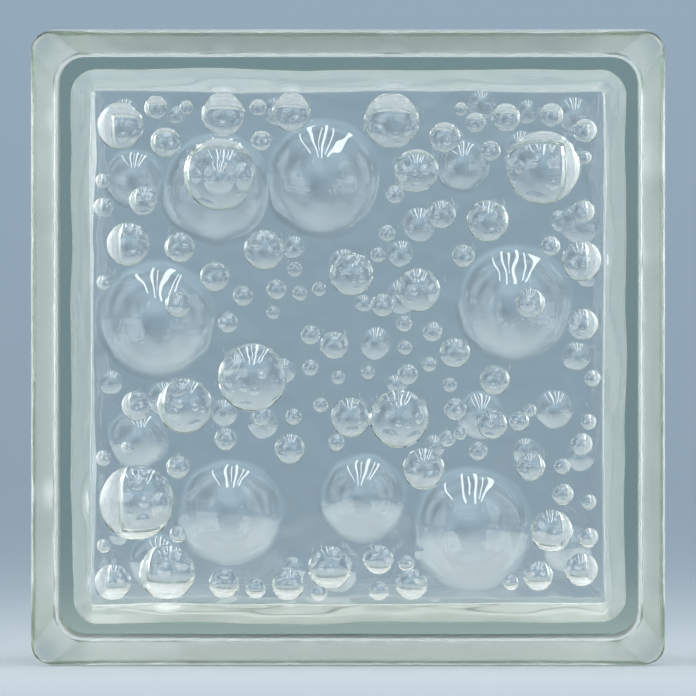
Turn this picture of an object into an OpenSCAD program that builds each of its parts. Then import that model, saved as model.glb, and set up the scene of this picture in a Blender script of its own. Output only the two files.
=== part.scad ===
// Hollow glass block for walls and windows, pressed as two half shells that are fused
// into one piece round a sealed cavity. X runs across the face, Y from the front face to
// the rear face and Z up. The origin lies under the block's middle, where it stands.

/* [Block] */
// Width of the block
block_w = 190; // [180:1:300]
// Height of the block
block_h = 190; // [180:1:300]
// Depth of the block, from the front face to the rear face
block_d = 80; // [70:1:110]

/* [Rim] */
// Radius of the rim's corners, seen from the front
rim_corner_r = 6; // [4:0.5:8]
// Rounding of the rim's edge, where it meets the face
rim_edge_r = 2; // [1:0.25:3]
// Width of the rim's flat band, which the block stands on
rim_band = 4; // [3:0.5:8]

/* [Mortar channel] */
// Depth of the channel, from the rim to the side wall
channel_depth = 7; // [6:0.5:8]
// Run of the slope between the rim and the side wall
channel_slope = 6; // [3:0.5:10]
// Radius of the side wall's corners
wall_corner_r = 9; // [6:0.5:14]
// Width of the bead along the fused seam
seam_w = 4; // [2:0.5:8]
// Height of the seam's bead over the side wall
seam_rise = 0.8; // [0.4:0.1:1]

/* [Shell] */
// Thickness of each face panel
panel_t = 10; // [9:0.5:14]
// Thickness of the side wall at the seam
wall_t = 4.5; // [3:0.25:7]
// How far the cavity narrows on each side, from the seam to the panels
cavity_draft = 6.5; // [4:0.5:9]
// Radius of the cavity's corners at the panels
cavity_corner_r = 1.5; // [1:0.25:3]

/* [Bubbles] */
// Angle of a bubble's wall to the panel, at the bubble's rim
bubble_angle = 42; // [35:1:60]
// Least glass left between a bubble and the face
bubble_skin = 3; // [2:0.25:4]

/* [Hidden] */
$fn = 64;
glass_color = [0.72, 0.82, 0.82, 0.45];

// Where the surfaces lie, measured from the block's middle
face_y = block_d / 2;
panel_y = face_y - panel_t;
band_y = face_y - rim_edge_r - rim_band;
slope_y = band_y - channel_slope;
cavity_w = block_w - 2 * (channel_depth + wall_t + cavity_draft);
cavity_h = block_h - 2 * (channel_depth + wall_t + cavity_draft);

// Bubbles in the front panel, as [x, z from the middle, diameter]
front_bubbles = [
    [-68.3, 66.5, 14], [-57.6, 72, 7], [-48.5, 72, 4], [-37.5, 69.8, 13], [-54.8, 61.5, 9],
    [-38.6, 52, 21.5], [-73.5, 50, 4.5], [-73.4, 42, 6], [-61.5, 44, 8.5], [-66, 31, 13],
    [-50.5, 30, 9], [-27, 72, 5], [-26, 62, 6], [-17, 70.6, 11.5], [-0.5, 72, 6.5],
    [13, 68, 16.5], [20.5, 53, 13], [14, 46, 5.5], [11.7, 34.3, 5], [-25.2, 29.3, 12],
    [1, 22, 13], [9, 27.8, 4.5], [28, 40, 8.5], [33.8, 71.5, 4], [38.2, 67.5, 6],
    [47.3, 69, 8.5], [61, 69.8, 7], [71, 65, 7.2], [29, 63, 9.3], [42.7, 59, 6],
    [58.5, 54, 22], [71, 57, 4], [70.5, 40.8, 6.8], [41.8, 38, 12.5], [34.5, 27.5, 6.8],
    [60.6, 30.5, 6], [70, 26, 12], [-73.2, 19.5, 4.5], [-40, 21.3, 8.8], [-51, 13, 7.8],
    [-31.5, 15.5, 6], [-36, 7.5, 6], [-73, -9.8, 6.5], [-63.5, -17.5, 9], [-49, -17.5, 16.5],
    [-28.7, -9, 20.5], [-36.7, -27.5, 6.7], [-16, 23.5, 4.5], [-21.5, 17.5, 6], [-14.5, 16.3, 4.5],
    [-8.7, 17.6, 4.2], [-22.5, 10.5, 4], [-11.3, 3.8, 5.8], [-4.2, 0.7, 8.3], [10.3, 12.7, 7],
    [21, 17.3, 13], [16.8, 7.2, 4.8], [17, 0, 4.4], [25.3, 4.8, 6], [17.8, -8, 6.2],
    [24.3, -5, 4.5], [-11.3, -6, 4.8], [-3, -8.9, 4.2], [6, -7.5, 4], [-20.5, -7, 4],
    [-8.3, -17.3, 4.5], [0.7, -21, 11.8], [15.3, -21.3, 17.5], [-26, -20.8, 5.5], [-16.3, -20.8, 5],
    [54.5, 13.3, 9], [70.4, 7, 9.3], [32, -1.5, 9], [43.9, -9.8, 9], [61.8, -13, 15],
    [73.2, -9.2, 5], [30.5, -11.2, 4.3], [32.2, -18.5, 6.7], [43.2, -23, 9], [51.3, -22, 6],
    [54.5, -18.8, 4], [72, -22.3, 4.8], [-73.3, -33.2, 4.8], [-66, -30, 4], [-51, -35.8, 7],
    [-63.5, -46.5, 22.5], [-51, -56, 5], [-73.3, -59.5, 4.2], [-70.6, -70.4, 11], [-54.3, -67.5, 16.7],
    [-37.2, -70.8, 9], [-27.7, -72.3, 6], [-17.5, -30.3, 9], [-3.5, -28.5, 5], [22.6, -36.3, 12.5],
    [-5.5, -66, 13], [9, -63.5, 9], [17.5, -64.7, 5], [-18, -71.2, 9.5], [-8.7, -73.6, 5],
    [9.2, -73, 6], [19, -71, 9.6], [29.8, -27.3, 5], [33.6, -25.8, 4], [39, -31, 5.7],
    [54.8, -35.7, 8.5], [64.2, -35.6, 4.8], [70, -29, 6.7], [64.4, -44, 6.4], [72.1, -46.3, 4.6],
    [61, -55, 12.7], [72, -57, 6], [70, -66.6, 10], [57, -68.5, 9], [48.8, -70.5, 4.6]
];

// Bubbles in the rear panel, as seen through the front
rear_bubbles = [
    [-58, 7, 31], [50, 12, 31], [-8, 50, 31], [37, -56, 32], [-36, -51, 28], [4, -47, 23],
    [-40, 47, 29.5], [-65, 50, 16], [34, 54, 14], [-64, -29, 16], [21, 36, 10], [54, 70, 6.5],
    [-17, 29, 7], [15.5, 27, 7.5], [-45, 7.5, 6], [-38, -21, 8], [69, -4, 9], [-68, 70, 8],
    [-52, 69, 5], [12, 70, 12], [40, 72, 8], [68, 69, 10], [64, 37, 6], [70, 36, 11],
    [18, 50, 8], [-2, 24, 8], [-22, 12, 12], [4, 12, 5], [16, 14, 10], [8, 0, 9],
    [-20, -8, 7], [-72, -12, 7], [-56, -17, 10], [-26, -24, 9], [0, -18, 12], [14, -12, 6],
    [14, -28, 7], [26, -31, 6], [40, -22, 13], [62, -20, 11], [54, -33, 8], [70, -34, 9],
    [66, -62, 13], [57, -72, 5], [-4, -69, 11], [-17, -68, 7], [-58, -66, 15], [-72, -72, 5],
    [-58, -48, 9], [22, -63, 5], [-22, 70, 8], [52, 60, 9], [72, 20, 6], [-70, -58, 6]
];

// Depth of a bubble, and the radius of the ball that presses it
function bubble_depth(d) = min(d / 2 * tan(bubble_angle / 2), panel_t - bubble_skin);
function ball_r(d) = (d * d / 4 + bubble_depth(d) * bubble_depth(d)) / (2 * bubble_depth(d));

// True where a bubble lies wholly on the panel
function on_panel(b) = abs(b[0]) + b[2] / 2 <= cavity_w / 2 && abs(b[1]) + b[2] / 2 <= cavity_h / 2;

// Sweeps a profile round a rectangle with round corners and fills the middle. The profile's X
// runs outwards from the corner axes, which lie inset from the sides, and its Y along the depth.
module swept(w, h, inset, low, high) {
    axis_x = w / 2 - inset;
    axis_y = h / 2 - inset;
    translate([-axis_x, -axis_y, low])
        cube([2 * axis_x, 2 * axis_y, high - low]);
    for (turn = [0:3]) {
        out = turn % 2 == 0 ? axis_x : axis_y;
        along = turn % 2 == 0 ? axis_y : axis_x;
        rotate(90 * turn)
            translate([out, along, 0]) {
                rotate([90, 0, 0])
                    linear_extrude(2 * along) children();
                rotate_extrude(angle = 90) children();
            }
    }
}

// Section of the rim, with its rounded edge at the face
module rim_section() {
    edge_x = rim_corner_r - rim_edge_r;
    edge_y = face_y - rim_edge_r;
    translate([0, band_y])
        square([rim_corner_r, rim_band]);
    translate([0, edge_y])
        square([edge_x, rim_edge_r]);
    translate([edge_x, edge_y])
        intersection() {
            circle(rim_edge_r);
            square(rim_edge_r);
        }
}

// Section of the side wall, from slope to slope, with the bead along its seam
module wall_section() {
    rim_x = wall_corner_r + channel_depth;
    bead_r = (seam_w * seam_w / 4 + seam_rise * seam_rise) / (2 * seam_rise);
    polygon([
        [0, -band_y], [rim_x, -band_y], [wall_corner_r, -slope_y],
        [wall_corner_r, slope_y], [rim_x, band_y], [0, band_y]
    ]);
    translate([wall_corner_r + seam_rise - bead_r, 0])
        circle(bead_r);
}

// Section of the cavity, widest at the seam
module cavity_section() {
    polygon([
        [0, -panel_y], [cavity_corner_r, -panel_y],
        [cavity_corner_r + cavity_draft, 0],
        [cavity_corner_r, panel_y], [0, panel_y]
    ]);
}

// The block's outside, lying on its rear face
module outside() {
    swept(block_w, block_h, channel_depth + wall_corner_r, -band_y, band_y)
        wall_section();
    for (side = [0, 1])
        mirror([0, 0, side])
            swept(block_w, block_h, rim_corner_r, band_y, face_y)
                rim_section();
}

// The sealed hollow between the two panels
module cavity() {
    swept(cavity_w, cavity_h, cavity_corner_r, -panel_y, panel_y)
        cavity_section();
}

// Balls that press the bubbles into the inner face of the panel at the top
module bubbles(places) {
    for (b = places)
        if (on_panel(b))
            translate([b[0], b[1], panel_y + bubble_depth(b[2]) - ball_r(b[2])])
                sphere(ball_r(b[2]));
}

module glass_block() {
    color(glass_color)
        translate([0, 0, block_h / 2])
            rotate([90, 0, 0])
                difference() {
                    outside();
                    cavity();
                    bubbles(front_bubbles);
                    mirror([0, 0, 1])
                        bubbles(rear_bubbles);
                }
}

glass_block();
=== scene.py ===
# %% [markdown]
# # A hollow glass block, made ready to look at
#
# The block is a building stone of glass: two pressed half shells, fused along a seam round a
# sealed hollow. Its faces are smooth outside. Inside, the plunger of the press has left round
# bubbles in both panels. This lesson loads the measured block as a fixed frame, models the
# glass skin finely enough for light to bend through it, and sets it in a plain studio.

import math

import bpy
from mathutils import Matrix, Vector


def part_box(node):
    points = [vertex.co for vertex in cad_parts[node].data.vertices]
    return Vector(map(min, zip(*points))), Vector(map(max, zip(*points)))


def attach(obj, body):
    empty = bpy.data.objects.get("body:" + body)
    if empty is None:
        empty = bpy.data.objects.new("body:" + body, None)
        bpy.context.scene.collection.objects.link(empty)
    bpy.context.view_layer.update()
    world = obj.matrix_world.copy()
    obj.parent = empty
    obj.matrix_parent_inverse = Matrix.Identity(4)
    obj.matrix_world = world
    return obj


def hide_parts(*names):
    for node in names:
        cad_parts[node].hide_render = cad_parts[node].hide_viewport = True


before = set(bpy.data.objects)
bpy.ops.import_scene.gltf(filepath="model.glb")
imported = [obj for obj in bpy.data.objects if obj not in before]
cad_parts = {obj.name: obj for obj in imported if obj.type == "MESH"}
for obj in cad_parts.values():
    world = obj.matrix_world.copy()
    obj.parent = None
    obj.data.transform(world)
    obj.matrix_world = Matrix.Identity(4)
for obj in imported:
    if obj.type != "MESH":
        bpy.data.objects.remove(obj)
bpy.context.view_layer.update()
low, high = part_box("glass_block")
MM = 0.001
width, depth, height = ((high - low) / MM)[:]
middle = (low + high) / 2
print(f"frame: {width:.1f} x {depth:.1f} x {height:.1f} mm")

# %% [markdown]
# ## The camera
#
# The photograph looks straight at the front face from far away, so that no side shows and the
# edges of both panels fall nearly on one line. A very long lens gives that view. It stands a
# little above the block, so that some floor shows through the lower part of the panels. The
# lens follows from the distance and from the width of wall that the picture takes in.

# %% Camera
SENSOR = 36.0
CAMERA_DISTANCE = 6.5
CAMERA_RIGHT, CAMERA_UP = 0.0325, 0.13
VIEW_WIDTH = 0.2084

camera_data = bpy.data.cameras.new("camera")
camera_data.sensor_width = SENSOR
camera_data.lens = SENSOR * CAMERA_DISTANCE / VIEW_WIDTH
camera = bpy.data.objects.new("camera", camera_data)
camera.location = (middle.x + CAMERA_RIGHT, low.y - CAMERA_DISTANCE, middle.z + CAMERA_UP)
aim = Vector((middle.x, low.y, middle.z)) - camera.location
camera.rotation_euler = aim.to_track_quat("-Z", "Y").to_euler()
bpy.context.scene.collection.objects.link(camera)
bpy.context.scene.camera = camera
print(f"camera: lens {camera_data.lens:.0f} mm")

# %% [markdown]
# ## Rings that make a skin
#
# Every surface of the block that runs round it is a stack of rings, each one a rectangle with
# round corners. A section says where the rings lie: how far out they reach, how deep they sit
# and how round their corners are. Corners of the section itself are blended with short curves,
# because pressed glass has no sharp edges and each edge catches light by its roundness.

# %% Helpers for rings and skins
CORNER_STEPS = 10
BLEND_STEPS = 6


def blended(section):
    """Points along a section of (reach, depth, corner radius, blend) with its corners blended."""
    points = [Vector(p[:3]) for p in section]
    line = [points[0]]
    for before, here, after, p in zip(points, points[1:], points[2:], section[1:]):
        start = here + (before - here).normalized() * p[3]
        end = here + (after - here).normalized() * p[3]
        for step in range(BLEND_STEPS + 1):
            t = step / BLEND_STEPS
            line.append(start * (1 - t) ** 2 + here * 2 * t * (1 - t) + end * t ** 2)
    line.append(points[-1])
    return line


def ring(reach, at_depth, corner, side_steps):
    """Points of one ring, in metres, where reach is half its width in millimetres."""
    out = reach - corner
    points = []
    for turn in range(4):
        angle = math.radians(90 * turn)
        across = Vector((math.cos(angle), math.sin(angle)))
        along = Vector((-math.sin(angle), math.cos(angle)))
        for step in range(side_steps):
            points.append(across * reach + along * out * (2 * step / side_steps - 1))
        for step in range(CORNER_STEPS):
            sweep = math.radians(90) * step / CORNER_STEPS
            ahead = along * (out + corner * math.sin(sweep))
            points.append(across * (out + corner * math.cos(sweep)) + ahead)
    return [middle + Vector((p.x, at_depth - depth / 2, p.y)) * MM for p in points]


def skin(name, line, side_steps):
    """A closed mesh through the rings of a section, with a flat cap at both ends."""
    rings = [ring(p.x, p.y, p.z, side_steps) for p in line]
    count = len(rings[0])
    vertices = [v for r in rings for v in r]
    faces = [tuple(range(count))]
    for row in range(len(rings) - 1):
        for i in range(count):
            j = (i + 1) % count
            here, below = row * count, (row + 1) * count
            faces.append((here + j, here + i, below + i, below + j))
    faces.append(tuple(reversed(range((len(rings) - 1) * count, len(rings) * count))))
    mesh = bpy.data.meshes.new(name)
    mesh.from_pydata(vertices, [], faces)
    piece = bpy.data.objects.new(name, mesh)
    bpy.context.scene.collection.objects.link(piece)
    print(f"{name}: {len(rings)} rings of {count} points")
    return piece

# %% [markdown]
# ## The outside of the block
#
# Seen from the side, each face ends in a rim that stands out over the side wall. Between the two
# rims runs the channel that takes the mortar. The rim's edge is round at the face, its back
# slopes down to the wall, and a low bead marks the seam where the halves were fused. The wall has
# a slight draft: at the foot of the slope it lies 1 mm deeper than at the seam, which lets the
# half shell out of its mould. The section is written for the front half, and the rear half is
# its mirror image.

# %% Outside skin
half = width / 2
RIM_CORNER, RIM_EDGE, RIM_BAND = 6.0, 2.0, 4.0
CHANNEL_DEPTH, CHANNEL_SLOPE, WALL_CORNER = 7.0, 6.0, 9.0
SEAM_WIDTH, SEAM_RISE = 4.0, 0.8
FOOT_IN, FOOT_BACK = 1.0, 0.45
wall_reach = half - CHANNEL_DEPTH
seam_depth = depth / 2


def mirrored(section):
    """A section from the face to the seam, carried on to the other face."""
    back = [(p[0], depth - p[1], *p[2:]) for p in reversed(section)]
    return section + (back[1:] if section[-1][1] == seam_depth else back)


outside_section = mirrored([
    (half - RIM_EDGE, 0.0, RIM_CORNER - RIM_EDGE, 0.0),
    (half, 0.0, RIM_CORNER, RIM_EDGE),
    (half, RIM_EDGE + RIM_BAND, RIM_CORNER, 0.8),
    (wall_reach - FOOT_IN, RIM_EDGE + RIM_BAND + CHANNEL_SLOPE + FOOT_BACK, WALL_CORNER - FOOT_IN, 2.0),
    (wall_reach, seam_depth - SEAM_WIDTH / 2, WALL_CORNER, 0.6),
    (wall_reach + SEAM_RISE, seam_depth, WALL_CORNER + SEAM_RISE, 1.2),
])
outside = skin("outside_skin", blended(outside_section), 12)

# %% [markdown]
# ## The hollow
#
# Inside, the plunger left a hollow that is widest at the seam and narrows towards both panels, so
# that it could be drawn out. The hot glass shrank a little unevenly, which shows as slow waves
# along the walls. The waves come later, in the node tree, so this skin only needs enough points.

# %% Hollow skin
PANEL, WALL, DRAFT, HOLLOW_CORNER = 10.0, 4.5, 6.5, 1.5
panel_reach = wall_reach - WALL - DRAFT
PANEL_BLEND = 0.6
hollow_section = mirrored([
    (panel_reach - PANEL_BLEND, PANEL, 0.4, 0.0),
    (panel_reach, PANEL, HOLLOW_CORNER, PANEL_BLEND),
    (panel_reach + DRAFT, seam_depth, HOLLOW_CORNER + DRAFT, 2.0),
])


def refined(line, longest):
    """The line with its long stretches cut into steps no longer than the given length."""
    fine = [line[0]]
    for a, b in zip(line, line[1:]):
        steps = max(1, math.ceil((b - a).length / longest))
        fine += [a.lerp(b, step / steps) for step in range(1, steps + 1)]
    return fine


hollow = skin("hollow_skin", refined(blended(hollow_section), 2.0), 60)

# %% [markdown]
# ## Where the bubbles lie
#
# A bubble is a shallow bowl that a ball of the plunger pressed into the panel's inner face. The
# places and widths are read off the photograph in millimetres from the middle of the face.
# The large soft bowls seen through the front panel belong to the rear one.

# %% Bubbles
FRONT_BUBBLES = [
    (-68.3, 66.5, 14), (-57.6, 72, 7), (-48.5, 72, 4), (-37.5, 69.8, 13), (-54.8, 61.5, 9),
    (-38.6, 52, 21.5), (-73.5, 50, 4.5), (-73.4, 42, 6), (-61.5, 44, 8.5), (-66, 31, 13),
    (-50.5, 30, 9), (-27, 72, 5), (-26, 62, 6), (-17, 70.6, 11.5), (-0.5, 72, 6.5),
    (13, 68, 16.5), (20.5, 53, 13), (14, 46, 5.5), (11.7, 34.3, 5), (-25.2, 29.3, 12),
    (1, 22, 13), (9, 27.8, 4.5), (28, 40, 8.5), (33.8, 71.5, 4), (38.2, 67.5, 6),
    (47.3, 69, 8.5), (61, 69.8, 7), (71, 65, 7.2), (29, 63, 9.3), (42.7, 59, 6),
    (58.5, 54, 22), (71, 57, 4), (70.5, 40.8, 6.8), (41.8, 38, 12.5), (34.5, 27.5, 6.8),
    (60.6, 30.5, 6), (70, 26, 12), (-73.2, 19.5, 4.5), (-40, 21.3, 8.8), (-51, 13, 7.8),
    (-31.5, 15.5, 6), (-36, 7.5, 6), (-73, -9.8, 6.5), (-63.5, -17.5, 9), (-49, -17.5, 16.5),
    (-28.7, -9, 20.5), (-36.7, -27.5, 6.7), (-16, 23.5, 4.5), (-21.5, 17.5, 6), (-14.5, 16.3, 4.5),
    (-8.7, 17.6, 4.2), (-22.5, 10.5, 4), (-11.3, 3.8, 5.8), (-4.2, 0.7, 8.3), (10.3, 12.7, 7),
    (21, 17.3, 13), (16.8, 7.2, 4.8), (17, 0, 4.4), (25.3, 4.8, 6), (17.8, -8, 6.2),
    (24.3, -5, 4.5), (-11.3, -6, 4.8), (-3, -8.9, 4.2), (6, -7.5, 4), (-20.5, -7, 4),
    (-8.3, -17.3, 4.5), (0.7, -21, 11.8), (15.3, -21.3, 17.5), (-26, -20.8, 5.5), (-16.3, -20.8, 5),
    (54.5, 13.3, 9), (70.4, 7, 9.3), (32, -1.5, 9), (43.9, -9.8, 9), (61.8, -13, 15),
    (73.2, -9.2, 5), (30.5, -11.2, 4.3), (32.2, -18.5, 6.7), (43.2, -23, 9), (51.3, -22, 6),
    (54.5, -18.8, 4), (72, -22.3, 4.8), (-73.3, -33.2, 4.8), (-66, -30, 4), (-51, -35.8, 7),
    (-63.5, -46.5, 22.5), (-51, -56, 5), (-73.3, -59.5, 4.2), (-70.6, -70.4, 11), (-54.3, -67.5, 16.7),
    (-37.2, -70.8, 9), (-27.7, -72.3, 6), (-17.5, -30.3, 9), (-3.5, -28.5, 5), (22.6, -36.3, 12.5),
    (-5.5, -66, 13), (9, -63.5, 9), (17.5, -64.7, 5), (-18, -71.2, 9.5), (-8.7, -73.6, 5),
    (9.2, -73, 6), (19, -71, 9.6), (29.8, -27.3, 5), (33.6, -25.8, 4), (39, -31, 5.7),
    (54.8, -35.7, 8.5), (64.2, -35.6, 4.8), (70, -29, 6.7), (64.4, -44, 6.4), (72.1, -46.3, 4.6),
    (61, -55, 12.7), (72, -57, 6), (70, -66.6, 10), (57, -68.5, 9), (48.8, -70.5, 4.6),
]
REAR_BUBBLES = [
    (-58, 7, 31), (50, 12, 31), (-8, 50, 31), (37, -56, 32), (-36, -51, 28), (4, -47, 23),
    (-40, 47, 29.5), (-65, 50, 16), (34, 54, 14), (-64, -29, 16), (21, 36, 10), (54, 70, 6.5),
    (-17, 29, 7), (15.5, 27, 7.5), (-45, 7.5, 6), (-38, -21, 8), (69, -4, 9), (-68, 70, 8),
    (-52, 69, 5), (12, 70, 12), (40, 72, 8), (68, 69, 10), (64, 37, 6), (70, 36, 11),
    (18, 50, 8), (-2, 24, 8), (-22, 12, 12), (4, 12, 5), (16, 14, 10), (8, 0, 9),
    (-20, -8, 7), (-72, -12, 7), (-56, -17, 10), (-26, -24, 9), (0, -18, 12), (14, -12, 6),
    (14, -28, 7), (26, -31, 6), (40, -22, 13), (62, -20, 11), (54, -33, 8), (70, -34, 9),
    (66, -62, 13), (57, -72, 5), (-4, -69, 11), (-17, -68, 7), (-58, -66, 15), (-72, -72, 5),
    (-58, -48, 9), (22, -63, 5), (-22, 70, 8), (52, 60, 9), (72, 20, 6), (-70, -58, 6),
]


def bubble_marks(name):
    """Loose points, one for each bubble, that carry its width and the way into the hollow."""
    rows = []
    panels = ((FRONT_BUBBLES, PANEL, 1), (REAR_BUBBLES, depth - PANEL, -1))
    for bubbles, face_depth, inward in panels:
        for x, z, across in bubbles:
            place = middle + Vector((x, face_depth - depth / 2, z)) * MM
            rows.append((place, across * MM, (0, inward, 0)))
    mesh = bpy.data.meshes.new(name)
    mesh.from_pydata([r[0] for r in rows], [], [])
    mesh.attributes.new("across", "FLOAT", "POINT").data.foreach_set("value", [r[1] for r in rows])
    inward = mesh.attributes.new("inward", "FLOAT_VECTOR", "POINT")
    inward.data.foreach_set("vector", [c for r in rows for c in r[2]])
    marks = bpy.data.objects.new(name, mesh)
    bpy.context.scene.collection.objects.link(marks)
    print(f"{name}: {len(rows)} bubbles")
    return marks


marks = bubble_marks("glass_block_skin")

# %% [markdown]
# ## Clear glass with a frosted channel
#
# The glass is clear, with the faint green of iron that shows where light has travelled far
# through it. Tinting the surface would colour thin and thick places alike, so the colour comes
# from absorption inside the volume. The side wall that the mortar grips is frosted and the
# slopes of the channel are satin. That is what makes the frame round the panels look pale from
# the front. One material holds all of it, because light has to enter and leave the same volume:
# masks on the block's own coordinates drive the roughness.
#
# Pressed glass is never quite flat. Slow waves lie over the whole skin, and finer ripples over
# the panels, where they break the lamps seen in the bubbles into feathers.

# %% Glass
GLASS_IOR = 1.5
ABSORB_COLOR = (0.65, 0.73, 0.635, 1.0)
ABSORB_DENSITY = 20.0
WAVES, RIPPLE = 0.12, 0.22
WAVE_SCALE, RIPPLE_SCALE, RIPPLE_FADE = 45.0, 85.0, 6.0
CLEAR, SATIN, FROSTED = 0.0, 0.25, 1.0
FROST_MARGIN = 1.2
FROST_REACH = wall_reach - WALL + FROST_MARGIN
SATIN_DEPTH = seam_depth - RIM_EDGE - RIM_BAND
FROST_DEPTH = SATIN_DEPTH - CHANNEL_SLOPE


def pressed_glass():
    """Glass with absorption inside, rough in the channel and faintly waved elsewhere."""
    material = bpy.data.materials.new("pressed_glass")
    material.use_nodes = True
    nodes, links = material.node_tree.nodes, material.node_tree.links
    shader = nodes["Principled BSDF"]
    shader.inputs["Base Color"].default_value = (1, 1, 1, 1)
    shader.inputs["IOR"].default_value = GLASS_IOR
    shader.inputs["Transmission Weight"].default_value = 1.0
    absorb = nodes.new("ShaderNodeVolumeAbsorption")
    absorb.inputs["Color"].default_value = ABSORB_COLOR
    absorb.inputs["Density"].default_value = ABSORB_DENSITY
    links.new(absorb.outputs["Volume"], nodes["Material Output"].inputs["Volume"])

    def math_node(operation, a, b):
        node = nodes.new("ShaderNodeMath")
        node.operation = operation
        for slot, value in enumerate((a, b)):
            if isinstance(value, bpy.types.NodeSocket):
                links.new(value, node.inputs[slot])
            else:
                node.inputs[slot].default_value = value
        return node.outputs[0]

    place = nodes.new("ShaderNodeTexCoord").outputs["Object"]
    off = nodes.new("ShaderNodeSeparateXYZ")
    links.new(place, off.inputs[0])
    aside = math_node("ABSOLUTE", math_node("SUBTRACT", off.outputs["X"], middle.x), 0)
    above = math_node("ABSOLUTE", math_node("SUBTRACT", off.outputs["Z"], middle.z), 0)
    along = math_node("ABSOLUTE", math_node("SUBTRACT", off.outputs["Y"], middle.y), 0)
    reach = math_node("MAXIMUM", aside, above)
    outer = math_node("GREATER_THAN", reach, FROST_REACH * MM)
    satin = math_node("MULTIPLY", math_node("LESS_THAN", along, SATIN_DEPTH * MM), SATIN)
    frost = math_node("MULTIPLY", math_node("LESS_THAN", along, FROST_DEPTH * MM), FROSTED)
    rough = math_node("MULTIPLY", outer, math_node("MAXIMUM", satin, frost))
    links.new(math_node("MAXIMUM", rough, CLEAR), shader.inputs["Roughness"])

    def noise_node(scale, detail):
        node = nodes.new("ShaderNodeTexNoise")
        node.inputs["Scale"].default_value = scale
        node.inputs["Detail"].default_value = detail
        links.new(place, node.inputs["Vector"])
        return node.outputs["Fac"]

    ripple = nodes.new("ShaderNodeMapRange")
    ripple.inputs["From Min"].default_value = (panel_reach - RIPPLE_FADE) * MM
    ripple.inputs["From Max"].default_value = panel_reach * MM
    ripple.inputs["To Min"].default_value = RIPPLE
    ripple.inputs["To Max"].default_value = 0.0
    links.new(reach, ripple.inputs["Value"])
    ripples = math_node("MULTIPLY", noise_node(RIPPLE_SCALE, 1.0), ripple.outputs["Result"])
    relief = math_node("ADD", math_node("MULTIPLY", noise_node(WAVE_SCALE, 1.0), WAVES), ripples)
    bump = nodes.new("ShaderNodeBump")
    bump.inputs["Strength"].default_value = 1.0
    bump.inputs["Distance"].default_value = MM
    links.new(relief, bump.inputs["Height"])
    links.new(bump.outputs["Normal"], shader.inputs["Normal"])
    print("material:", material.name)
    return material


glass = pressed_glass()

# %% [markdown]
# ## Pressing the bubbles
#
# All the bowls follow one rule, so a node tree presses them. In the front panel each mark gets a
# ball whose size follows from the bowl's width and the angle of its rim, which leaves a crisp
# rim. The bowls of the rear panel look soft in the photograph, so their tool is turned with a
# flaring lip, which is wider on the large ones. Balls, bowls and the waved hollow are cut out of
# the outside skin in one boolean. Edges that turn by more than the crease angle stay sharp, and
# all else is shaded smooth.

# %% Tools with a lip for the rear panel
RIM_ANGLE = math.radians(42)
SINK, ROOT = 0.0006, -0.02


def bowl(name, lip, around, cap_steps, lip_steps):
    """A closed tool of unit width along Y, with a round bottom and a lip that flares."""
    ball = 0.5 / math.sin(RIM_ANGLE)
    centre = -ball * math.cos(RIM_ANGLE)
    lip_out = math.sqrt((ball + lip) ** 2 - (lip - centre) ** 2)
    turn = math.asin(lip_out / (ball + lip))
    profile = []
    for step in range(1, cap_steps + 1):
        angle = turn * step / cap_steps
        profile.append((ball * math.sin(angle), centre + ball * math.cos(angle) + SINK))
    for step in range(1, lip_steps + 1):
        angle = turn * (1 - step / lip_steps)
        profile.append((lip_out - lip * math.sin(angle), lip - lip * math.cos(angle) + SINK))
    profile.append((lip_out, ROOT))
    vertices = [(0, centre + ball + SINK, 0)]
    for out, up in profile:
        for step in range(around):
            angle = math.tau * step / around
            vertices.append((out * math.cos(angle), up, out * math.sin(angle)))
    faces = [(0, 2 + i if i + 1 < around else 1, 1 + i) for i in range(around)]
    for row in range(len(profile) - 1):
        for i in range(around):
            j = (i + 1) % around
            here, below = 1 + row * around, 1 + (row + 1) * around
            faces.append((here + i, here + j, below + j, below + i))
    faces.append(tuple(range(len(vertices) - around, len(vertices))))
    mesh = bpy.data.meshes.new(name)
    mesh.from_pydata(vertices, [], faces)
    tool = bpy.data.objects.new(name, mesh)
    bpy.context.scene.collection.objects.link(tool)
    print(f"{name}: {len(faces)} faces")
    return tool


small_bowl = bowl("small_bowl", 0.10, 32, 7, 4)
large_bowl = bowl("large_bowl", 0.26, 80, 14, 8)

# %% Node tree that presses the bubbles
LEAST_SKIN = 3.0
BALLS = [(0.0, 6.5, 32, 24), (6.5, 15.0, 48, 32), (15.0, 99.0, 80, 56)]
BOWLS = [(0.0, 12.0, "Small Bowl"), (12.0, 99.0, "Large Bowl")]


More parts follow.
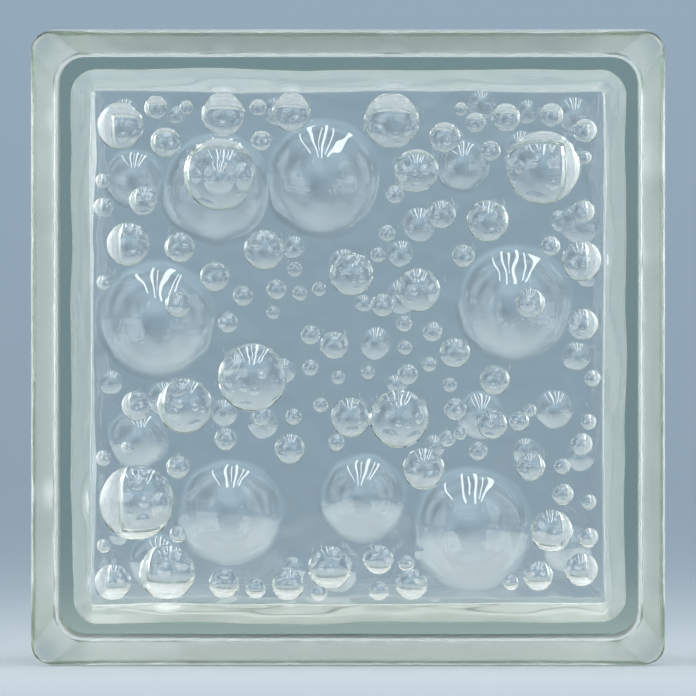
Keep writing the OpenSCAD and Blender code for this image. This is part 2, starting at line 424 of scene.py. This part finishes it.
def press_tree():
    """Nodes that cut the hollow, and a ball or bowl at every mark, out of the outside skin."""
    tree = bpy.data.node_groups.new("press_bubbles", "GeometryNodeTree")
    for name, kind in (
        ("Marks", "Geometry"), ("Outside", "Object"), ("Hollow", "Object"),
        ("Small Bowl", "Object"), ("Large Bowl", "Object"), ("Rim Angle", "Float"),
        ("Deepest", "Float"), ("Wave Height", "Float"), ("Wave Scale", "Float"),
        ("Crease Angle", "Float"), ("Glass", "Material"),
    ):
        tree.interface.new_socket(name, in_out="INPUT", socket_type="NodeSocket" + kind)
    tree.interface.new_socket("Block", in_out="OUTPUT", socket_type="NodeSocketGeometry")
    sizes = tree.nodes.new("NodeGroupInput").outputs

    def add(kind, inputs=None, **settings):
        node = tree.nodes.new(kind)
        for key, value in settings.items():
            setattr(node, key, value)
        for key, value in (inputs or {}).items():
            if isinstance(value, bpy.types.NodeSocket):
                tree.links.new(value, node.inputs[key])
            else:
                node.inputs[key].default_value = value
        return node

    def sum_of(operation, a, b):
        return add("ShaderNodeMath", {0: a, 1: b}, operation=operation).outputs[0]

    def carried(name, kind):
        node = add("GeometryNodeInputNamedAttribute", {"Name": name}, data_type=kind)
        return node.outputs["Attribute"]

    def vector_of(operation, a, key, b):
        node = add("ShaderNodeVectorMath", {0: a, key: b}, operation=operation)
        return node.outputs["Vector"]

    def moved(geometry, offset):
        node = add("GeometryNodeSetPosition", {"Geometry": geometry, "Offset": offset})
        return node.outputs["Geometry"]

    def shape_of(name):
        return add("GeometryNodeObjectInfo", {"Object": sizes[name]}).outputs["Geometry"]

    across = carried("across", "FLOAT")
    inward = carried("inward", "FLOAT_VECTOR")
    radius = sum_of("MULTIPLY", across, 0.5)
    slope = sum_of("TANGENT", sum_of("MULTIPLY", sizes["Rim Angle"], 0.5), 0.0)
    deep = sum_of("MINIMUM", sum_of("MULTIPLY", radius, slope), sizes["Deepest"])
    squares = sum_of("ADD", sum_of("POWER", radius, 2.0), sum_of("POWER", deep, 2.0))
    ball = sum_of("DIVIDE", squares, sum_of("MULTIPLY", deep, 2.0))
    shift = vector_of("SCALE", inward, "Scale", sum_of("SUBTRACT", ball, deep))
    centres = moved(sizes["Marks"], shift)

    wave = add("ShaderNodeTexNoise", {"Scale": sizes["Wave Scale"], "Detail": 1.0})
    centred = vector_of("SUBTRACT", wave.outputs["Color"], 1, (0.5, 0.5, 0.5))
    across_only = vector_of("MULTIPLY", centred, 1, (1, 0, 1))
    lift = vector_of("SCALE", across_only, "Scale", sizes["Wave Height"])
    waved = moved(shape_of("Hollow"), lift)

    cut = add("GeometryNodeMeshBoolean", {"Mesh 1": shape_of("Outside")},
              operation="DIFFERENCE", solver="MANIFOLD")
    way = add("ShaderNodeSeparateXYZ", {0: inward}).outputs["Y"]

    def chosen(panel, least, most):
        above = sum_of("GREATER_THAN", across, least * MM)
        wide = sum_of("MULTIPLY", above, sum_of("LESS_THAN", across, most * MM))
        return sum_of("MULTIPLY", wide, sum_of(panel, way, 0.0))

    for least, most, segments, rings in BALLS:
        sphere = add("GeometryNodeMeshUVSphere", {"Segments": segments, "Rings": rings, "Radius": 1.0})
        placed = add("GeometryNodeInstanceOnPoints", {
            "Points": centres, "Selection": chosen("GREATER_THAN", least, most),
            "Instance": sphere.outputs["Mesh"], "Rotation": (math.radians(90), 0, 0), "Scale": ball,
        })
        tree.links.new(placed.outputs["Instances"], cut.inputs["Mesh 2"])
    for least, most, tool in BOWLS:
        placed = add("GeometryNodeInstanceOnPoints", {
            "Points": sizes["Marks"], "Selection": chosen("LESS_THAN", least, most),
            "Instance": shape_of(tool), "Scale": across,
        })
        tree.links.new(placed.outputs["Instances"], cut.inputs["Mesh 2"])
    tree.links.new(waved, cut.inputs["Mesh 2"])

    smooth = add("GeometryNodeSetShadeSmooth", {"Geometry": cut.outputs["Mesh"]})
    turn = add("GeometryNodeInputMeshEdgeAngle").outputs["Unsigned Angle"]
    sharp = sum_of("GREATER_THAN", turn, sizes["Crease Angle"])
    creased = add("GeometryNodeSetShadeSmooth", {
        "Geometry": smooth.outputs["Geometry"], "Selection": sharp, "Shade Smooth": False,
    }, domain="EDGE")
    real = add("GeometryNodeRealizeInstances", {"Geometry": creased.outputs["Geometry"]})
    painted = add("GeometryNodeSetMaterial", {
        "Geometry": real.outputs["Geometry"], "Material": sizes["Glass"]})
    end = tree.nodes.new("NodeGroupOutput")
    tree.links.new(painted.outputs["Geometry"], end.inputs["Block"])
    print(f"tree: {len(tree.nodes)} nodes")
    return tree


# %% Press the block and keep the result as a plain mesh
press = marks.modifiers.new("press", "NODES")
press.node_group = press_tree()
values = {
    "Outside": outside, "Hollow": hollow, "Small Bowl": small_bowl, "Large Bowl": large_bowl,
    "Rim Angle": RIM_ANGLE, "Deepest": (PANEL - LEAST_SKIN) * MM,
    "Wave Height": 2.6 * MM, "Wave Scale": 30.0, "Crease Angle": math.radians(25), "Glass": glass,
}
for socket in press.node_group.interface.items_tree:
    if socket.in_out == "INPUT" and socket.name in values:
        press[socket.identifier] = values[socket.name]
evaluated = marks.evaluated_get(bpy.context.evaluated_depsgraph_get())
pressed = bpy.data.meshes.new_from_object(evaluated)
marks.modifiers.remove(press)
marks.data = pressed
for scaffold in (outside, hollow, small_bowl, large_bowl):
    bpy.data.objects.remove(scaffold)
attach(marks, "root")
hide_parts("glass_block")
print(f"block: {sum(len(p.vertices) - 2 for p in pressed.polygons)} triangles")

# %% [markdown]
# ## The studio
#
# A plain pale floor carries the block. It fades out with distance into the backdrop, which is
# the world itself: a soft grey-blue in front and behind, paler at both sides and overhead, so
# that no wall stands in the way of the views from behind. A slow mottle lies over it. The camera
# takes in far too little of it to notice, but a bubble gathers a wide view and would look empty
# without it. Glass shows what lies behind it, so this backdrop is the same for every ray.

# %% Floor
FLOOR_RADIUS, FADE_FROM, FADE_TO = 4.0, 0.05, 2.4
FADE_POWER = 2.8
FLOOR_GAP = 0.0003


def floor_material():
    """Pale matt floor that grows transparent towards its edge."""
    material = bpy.data.materials.new("pale_floor")
    material.use_nodes = True
    nodes, links = material.node_tree.nodes, material.node_tree.links
    shader = nodes["Principled BSDF"]
    shader.inputs["Base Color"].default_value = (0.62, 0.66, 0.68, 1)
    shader.inputs["Roughness"].default_value = 0.8
    shader.inputs["Specular IOR Level"].default_value = 0.0
    place = nodes.new("ShaderNodeTexCoord")
    away = nodes.new("ShaderNodeVectorMath")
    away.operation = "LENGTH"
    fade = nodes.new("ShaderNodeMapRange")
    fade.inputs["From Min"].default_value = FADE_FROM
    fade.inputs["From Max"].default_value = FADE_TO
    fade.inputs["To Min"].default_value = 1.0
    fade.inputs["To Max"].default_value = 0.0
    links.new(place.outputs["Object"], away.inputs[0])
    links.new(away.outputs["Value"], fade.inputs["Value"])
    soft = nodes.new("ShaderNodeMath")
    soft.operation = "POWER"
    soft.inputs[1].default_value = FADE_POWER
    links.new(fade.outputs["Result"], soft.inputs[0])
    links.new(soft.outputs["Value"], shader.inputs["Alpha"])
    return material


bpy.ops.mesh.primitive_circle_add(
    vertices=96, radius=FLOOR_RADIUS, fill_type="NGON", location=(0, 0, low.z - FLOOR_GAP))
floor = bpy.context.object
floor.name = "floor"
floor.data.materials.append(floor_material())
print("floor: radius", FLOOR_RADIUS)

# %% Backdrop
BACKDROP = (0.29, 0.385, 0.475, 1)
SIDES = (0.78, 0.85, 0.88, 1)
OVERHEAD = 0.95
PALE_FROM, PALE_TO = 0.55, 1.0
MOTTLE_SCALE, MOTTLE_LOW, MOTTLE_HIGH = 5.0, 0.78, 1.34
NOISE_LOW, NOISE_HIGH = 0.3, 0.7


def backdrop_world():
    """A mottled world, grey-blue along the view and pale at both sides and overhead."""
    world = bpy.data.worlds.new("studio")
    world.use_nodes = True
    nodes, links = world.node_tree.nodes, world.node_tree.links
    ray = nodes.new("ShaderNodeTexCoord")
    parts = nodes.new("ShaderNodeSeparateXYZ")
    side = nodes.new("ShaderNodeMath")
    side.operation = "ABSOLUTE"
    over = nodes.new("ShaderNodeMath")
    over.operation = "MULTIPLY"
    over.inputs[1].default_value = OVERHEAD
    round_about = nodes.new("ShaderNodeMath")
    round_about.operation = "MAXIMUM"
    ramp = nodes.new("ShaderNodeMapRange")
    ramp.interpolation_type = "SMOOTHSTEP"
    ramp.inputs["From Min"].default_value = PALE_FROM
    ramp.inputs["From Max"].default_value = PALE_TO
    mix = nodes.new("ShaderNodeMix")
    mix.data_type = "RGBA"
    mix.inputs["A"].default_value = BACKDROP
    mix.inputs["B"].default_value = SIDES
    mottle = nodes.new("ShaderNodeTexNoise")
    mottle.inputs["Scale"].default_value = MOTTLE_SCALE
    mottle.inputs["Detail"].default_value = 1.0
    level = nodes.new("ShaderNodeMapRange")
    level.inputs["From Min"].default_value = NOISE_LOW
    level.inputs["From Max"].default_value = NOISE_HIGH
    level.inputs["To Min"].default_value = MOTTLE_LOW
    level.inputs["To Max"].default_value = MOTTLE_HIGH
    links.new(ray.outputs["Generated"], mottle.inputs["Vector"])
    links.new(mottle.outputs["Fac"], level.inputs["Value"])
    links.new(level.outputs["Result"], nodes["Background"].inputs["Strength"])
    links.new(ray.outputs["Generated"], parts.inputs["Vector"])
    links.new(parts.outputs["X"], side.inputs[0])
    links.new(side.outputs["Value"], round_about.inputs[0])
    links.new(parts.outputs["Z"], over.inputs[0])
    links.new(over.outputs["Value"], round_about.inputs[1])
    links.new(round_about.outputs["Value"], ramp.inputs["Value"])
    links.new(ramp.outputs["Result"], mix.inputs["Factor"])
    links.new(mix.outputs["Result"], nodes["Background"].inputs["Color"])
    return world


scene = bpy.context.scene
scene.world = backdrop_world()
scene.view_settings.view_transform = "Standard"

# %% [markdown]
# ## The lamps
#
# Rows of long ceiling lamps run away behind the block. Each bubble is a small wide-angle lens, so
# it shows them as a fan of bright feathers in its upper half. Two large soft lamps in front and
# two beside the block light the frosted channel, which makes the frame pale without a hard shadow.
# All of them hang clear of the floor, where a lamp would draw a line. A weak lamp lies under the
# block, as on a light table. The rim at the top looks down through the whole front panel, and
# would be dark without it.

# %% Lamps


def lamp(name, location, size, watts, towards=None):
    """A soft lamp of the given width and length that faces a point, or straight down."""
    data = bpy.data.lights.new(name, "AREA")
    data.shape = "RECTANGLE"
    data.size, data.size_y = size
    data.energy = watts
    obj = bpy.data.objects.new(name, data)
    obj.location = location
    if towards is not None:
        obj.rotation_euler = (towards - obj.location).to_track_quat("-Z", "Y").to_euler()
    obj.visible_camera = False
    bpy.context.scene.collection.objects.link(obj)
    print(f"{name}: {watts} W")
    return obj


CEILING = [
    (-0.62, 4.4, 1.2, 0.05, 5.2), (-0.30, 6.4, 1.45, 0.10, 9.2), (-0.05, 4.2, 1.3, 0.04, 4.8),
    (0.16, 6.4, 1.4, 0.12, 9.2), (0.42, 4.6, 1.25, 0.05, 5.6), (0.70, 5.6, 1.4, 0.10, 7.4),
]
CEILING_LEVEL = 2.4
for number, (x, y, z, wide, long) in enumerate(CEILING):
    lamp(f"ceiling_{number}", (x, y, z), (wide, long), CEILING_LEVEL * wide * long)
for hand, sign in (("left", -1), ("right", 1)):
    lamp(f"soft_{hand}", (0.85 * sign, -1.0, 0.42), (1.0, 0.75), 6.5, middle)
    lamp(f"side_{hand}", (1.0 * sign, 0.05, 0.55), (0.9, 0.6), 4.6, middle)
beneath = (middle.x, middle.y, low.z - FLOOR_GAP / 2)
under = lamp("under_light", beneath, (0.184, 0.076), 0.034)
under.rotation_euler = (math.pi, 0, 0)
scene.cycles.max_bounces = 24
scene.cycles.transmission_bounces = 24
